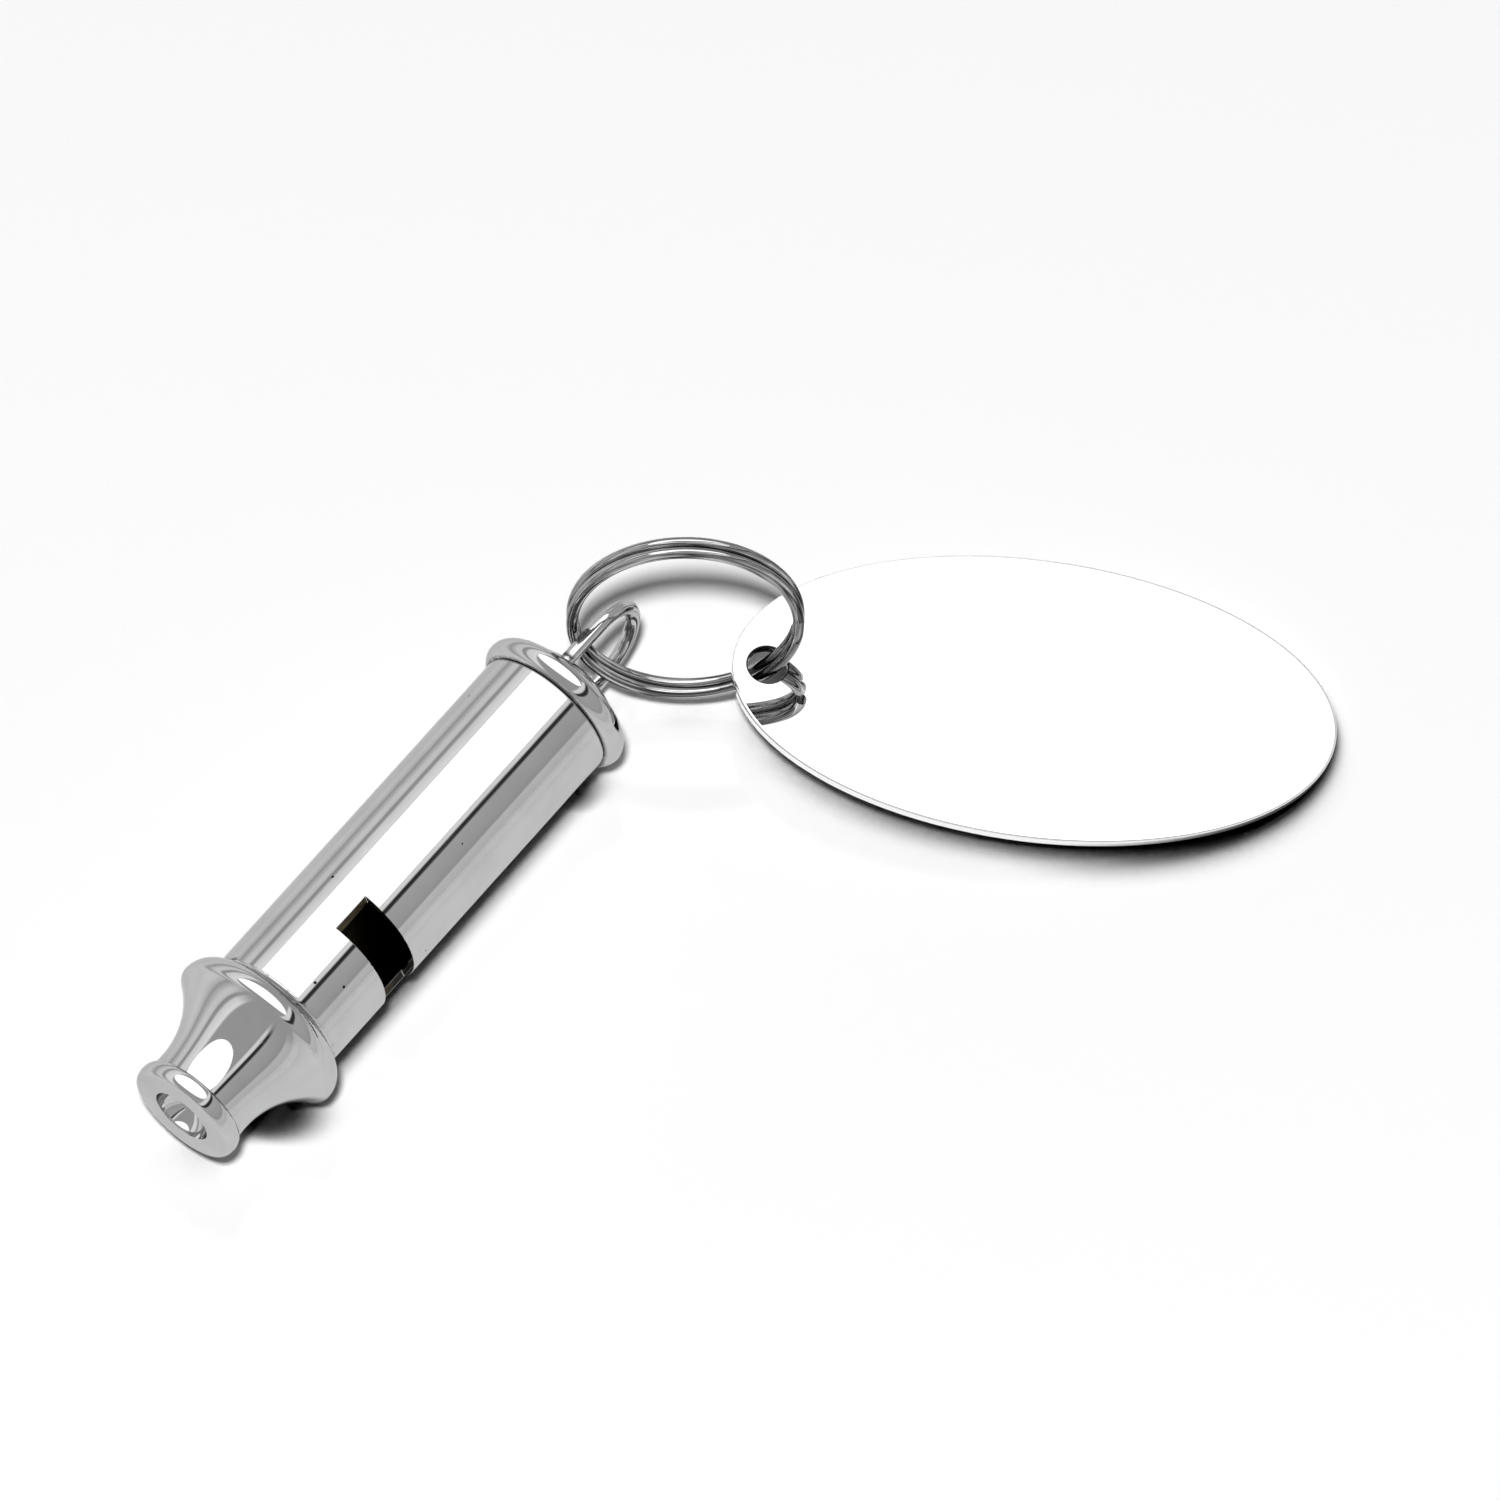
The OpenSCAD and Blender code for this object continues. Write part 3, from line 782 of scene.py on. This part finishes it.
def makeTag(t):
    middle = Vector(mounts["tag_face"]["pos_m"]) - tagUp * (t["thick"] / 2 * mm)
    place = Matrix((tagWay, tagUp.cross(tagWay), tagUp)).transposed().to_4x4()
    place.translation = middle
    holeX = (tagHold - middle).dot(tagWay) / mm
    halfL, halfW = t["length"] / 2, t["width"] / 2
    turns = [2 * math.pi * i / t["steps"] for i in range(t["steps"])]
    bm = bmesh.new()

    def oval(inset, z):
        loop = []
        for a in turns:
            rim = Vector((halfL * math.cos(a), halfW * math.sin(a)))
            out = Vector((math.cos(a) / halfL, math.sin(a) / halfW)).normalized()
            spot = rim - out * inset
            loop.append(bm.verts.new((spot.x * mm, spot.y * mm, z * mm)))
        return loop

    def hole(outset, z):                      # its points face the oval's, so the faces don't twist
        loop = []
        radius = t["holeD"] / 2 + outset
        for a in turns:
            ray = Vector((halfL * math.cos(a) - holeX, halfW * math.sin(a))).normalized() * radius
            loop.append(bm.verts.new(((holeX + ray.x) * mm, ray.y * mm, z * mm)))
        return loop

    def rounded(loopAt, radius):              # loops from the top face round the edge to the bottom face
        loops = []
        bend = [math.radians(90 * i / t["roundSteps"]) for i in range(t["roundSteps"] + 1)]
        high = t["thick"] / 2 - radius
        for side, angles in ((1, reversed(bend)), (-1, bend)):
            for a in angles:
                loops.append(loopAt(radius - radius * math.cos(a), side * (high + radius * math.sin(a))))
        return loops

    rim, bore = rounded(oval, t["round"]), rounded(hole, t["holeRound"])
    flats = [(rim[0], bore[0]), (rim[-1], bore[-1])]
    for finish, pairs in enumerate((flats, list(zip(rim, rim[1:])), list(zip(bore, bore[1:])))):
        for near, far in pairs:
            for i in range(t["steps"]):
                j = (i + 1) % t["steps"]
                bm.faces.new((near[i], near[j], far[j], far[i])).material_index = finish
    bmesh.ops.recalc_face_normals(bm, faces=bm.faces)
    for loop in (rim[0], bore[0], rim[-1], bore[-1]):    # keeps the flat faces flat in reflections
        for i in range(t["steps"]):
            edge = bm.edges.get((loop[i], loop[(i + 1) % t["steps"]]))
            edge.smooth = False
    bm.transform(place)
    mesh = finishMesh("tagPlate", bm, 0)
    finishes = [polishedMetal("tagMirror", mirror | {"bow": t["bow"]}),
                # the edge: a brighter copy of the mirror finish, a painted highlight
                polishedMetal("tagEdgePaintedHighlight", mirror | {"bright": t["edgeTint"], "dull": t["edgeTint"]}),
                # the bore: a near-black copy of the mirror finish, painted shade inside the hole
                polishedMetal("tagBorePaintedShade", mirror | {"bright": t["borePaintedShade"], "dull": t["borePaintedShade"]})]
    addPiece("tagPlate", mesh, finishes, "tag", "tag_plate", "tag")


makeTag(tag)

# what shows in the windows keeps its CAD shape
for node in ("divider", "upper_plug", "lower_plug"):
    for place in frame["nodes"][node].material_slots:
        place.material = tubeInside
print("inside pieces finished")

# floor: pale and slightly glossy, with shade painted into its colour where a piece lies close over it
floor = {
    "size": 6.0,                 # metres
    "drop": 0.02,                # below the pieces, so that no faces meet
    "colour": (0.93, 0.93, 0.93), "shadow": (0.0, 0.0, 0.0), "rough": 0.06, "gloss": 0.35,
    # the way that the floor looks for a piece, how near it has to be, and how open the floor is there
    # where the shade is full and where it ends
    "closeShade": {"way": (0.55, 0.44, 0.71), "reach": 4.1, "full": 0.62, "none": 0.87, "samples": 14},
    "tagShade": {"way": (0.0, 0.0, 1.0), "reach": 12.0, "full": 0.4, "none": 0.57, "samples": 14},
    "tagStart": -3.0, "tagBlend": 6.0,      # where the tag's own shade begins, from its hole
}


# how much of the floor's colour stays clear of the painted shade where pieces lie over it
def floorLight(tree, shade):
    way = setInputs(addNode(tree, "ShaderNodeCombineXYZ"), **dict(zip("XYZ", shade["way"])))
    near = addNode(tree, "ShaderNodeAmbientOcclusion", samples=shade["samples"])
    near.inputs["Distance"].default_value = shade["reach"] * mm
    tree.links.new(way.outputs["Vector"], near.inputs["Normal"])
    clear = setInputs(addNode(tree, "ShaderNodeMapRange"), From_Min=shade["full"], From_Max=shade["none"])
    tree.links.new(near.outputs["AO"], clear.inputs["Value"])
    return clear.outputs["Result"]


def makeFloor(f):
    bm = bmesh.new()
    bmesh.ops.create_grid(bm, x_segments=1, y_segments=1, size=f["size"] / 2)
    mesh = bpy.data.meshes.new("floor")
    bm.to_mesh(mesh)
    bm.free()
    mesh.transform(Matrix.Translation((0, 0, (floorZ - f["drop"]) * mm)))
    material, tree, shader, place = newMaterial("paleFloor")
    run = alongTag(tree, place)
    past = setInputs(addNode(tree, "ShaderNodeMapRange"), From_Min=f["tagStart"] + f["tagBlend"],
                     From_Max=f["tagStart"])
    tree.links.new(run, past.inputs["Value"])
    underTag = mathNode(tree, "MAXIMUM", floorLight(tree, f["tagShade"]), past.outputs["Result"])
    lit = mathNode(tree, "MINIMUM", floorLight(tree, f["closeShade"]), underTag)
    # painted shadow: the floor's colour goes towards black where pieces lie close over it
    shade = mixColour(tree, lit, f["shadow"], f["colour"])
    tree.links.new(shade, shader.inputs["Base Color"])
    shader.inputs["Roughness"].default_value = f["rough"]
    shader.inputs["Specular IOR Level"].default_value = f["gloss"]
    mesh.materials.append(material)
    board = bpy.data.objects.new("floor", mesh)
    scene.collection.objects.link(board)


makeFloor(floor)

# light: a large softbox overhead, a small lamp for the shadow, and grey walls around
softbox = {"centre": (0.5, 0.2, 1.2), "size": (1.9, 1.77), "radiance": 1.65}
shadowLamp = {"from": (-0.568, -0.417, 1.859), "size": 0.18, "power": 41.0}
walls = {
    # degrees from straight up towards -Y, and how bright the room is there
    "bands": [(-180, 0.5), (-95, 0.45), (-88, 0.55), (-76, 0.95), (-68, 0.9), (-66, 0.46), (-61, 0.46),
              (-58, 1.0), (-44, 1.2), (-40, 0.5), (29, 0.5), (31, 1.1), (36, 1.1), (38, 0.04), (43, 0.04),
              (45, 0.58), (66, 0.53), (75, 0.47), (77, 0.8), (95, 0.7), (180, 0.5)],
    "ends": 0.5, "endFrom": 0.8, "endFull": 0.97,      # and along X, past these shares of a direction
    "diffuse": 0.04,             # how much of it the floor gets, so that shadows stay dark
}


def addLamp(name, place, **settings):
    lamp = bpy.data.lights.new(name, "AREA")
    for key, value in settings.items():
        setattr(lamp, key, value)
    holder = bpy.data.objects.new(name, lamp)
    holder.location = place
    scene.collection.objects.link(holder)
    return holder


def makeLight(box, spot):
    length, width = box["size"]
    power = box["radiance"] * math.pi * length * width * math.pi / 4
    over = addLamp("softbox", box["centre"], shape="ELLIPSE", size=length, size_y=width, energy=power)
    over.visible_diffuse = False
    beside = addLamp("shadowLamp", spot["from"], shape="DISK", size=spot["size"], energy=spot["power"])
    beside.rotation_euler = Vector(spot["from"]).to_track_quat("Z", "Y").to_euler()
    beside.visible_glossy = False


def makeWalls(w):
    world = bpy.data.worlds.new("studio")
    world.use_nodes = True
    scene.world = world
    tree = world.node_tree
    tree.nodes.clear()
    coords = addNode(tree, "ShaderNodeTexCoord")
    parts = addNode(tree, "ShaderNodeSeparateXYZ")
    tree.links.new(coords.outputs["Generated"], parts.inputs["Vector"])
    side = mathNode(tree, "MULTIPLY", parts.outputs["Y"], -1.0)
    roll = mathNode(tree, "ARCTAN2", side, parts.outputs["Z"])
    share = mathNode(tree, "MULTIPLY_ADD", roll, 1 / (2 * math.pi), 0.5)
    bands = rampNode(tree, share, [(0.5 + degrees / 360, grey) for degrees, grey in w["bands"]])
    end = addNode(tree, "ShaderNodeMapRange", interpolation_type="SMOOTHSTEP")
    setInputs(end, From_Min=w["endFrom"], From_Max=w["endFull"])
    tree.links.new(mathNode(tree, "ABSOLUTE", parts.outputs["X"]), end.inputs["Value"])
    grey = (w["ends"], w["ends"], w["ends"])
    shade = addNode(tree, "ShaderNodeBackground")
    tree.links.new(mixColour(tree, end.outputs["Result"], bands, grey), shade.inputs["Color"])
    paths = addNode(tree, "ShaderNodeLightPath")
    level = mathNode(tree, "MULTIPLY_ADD", paths.outputs["Is Diffuse Ray"], w["diffuse"] - 1.0, 1.0)
    tree.links.new(level, shade.inputs["Strength"])
    out = addNode(tree, "ShaderNodeOutputWorld")
    tree.links.new(shade.outputs["Background"], out.inputs["Surface"])


makeLight(softbox, shadowLamp)
makeWalls(walls)
print("studio lit")
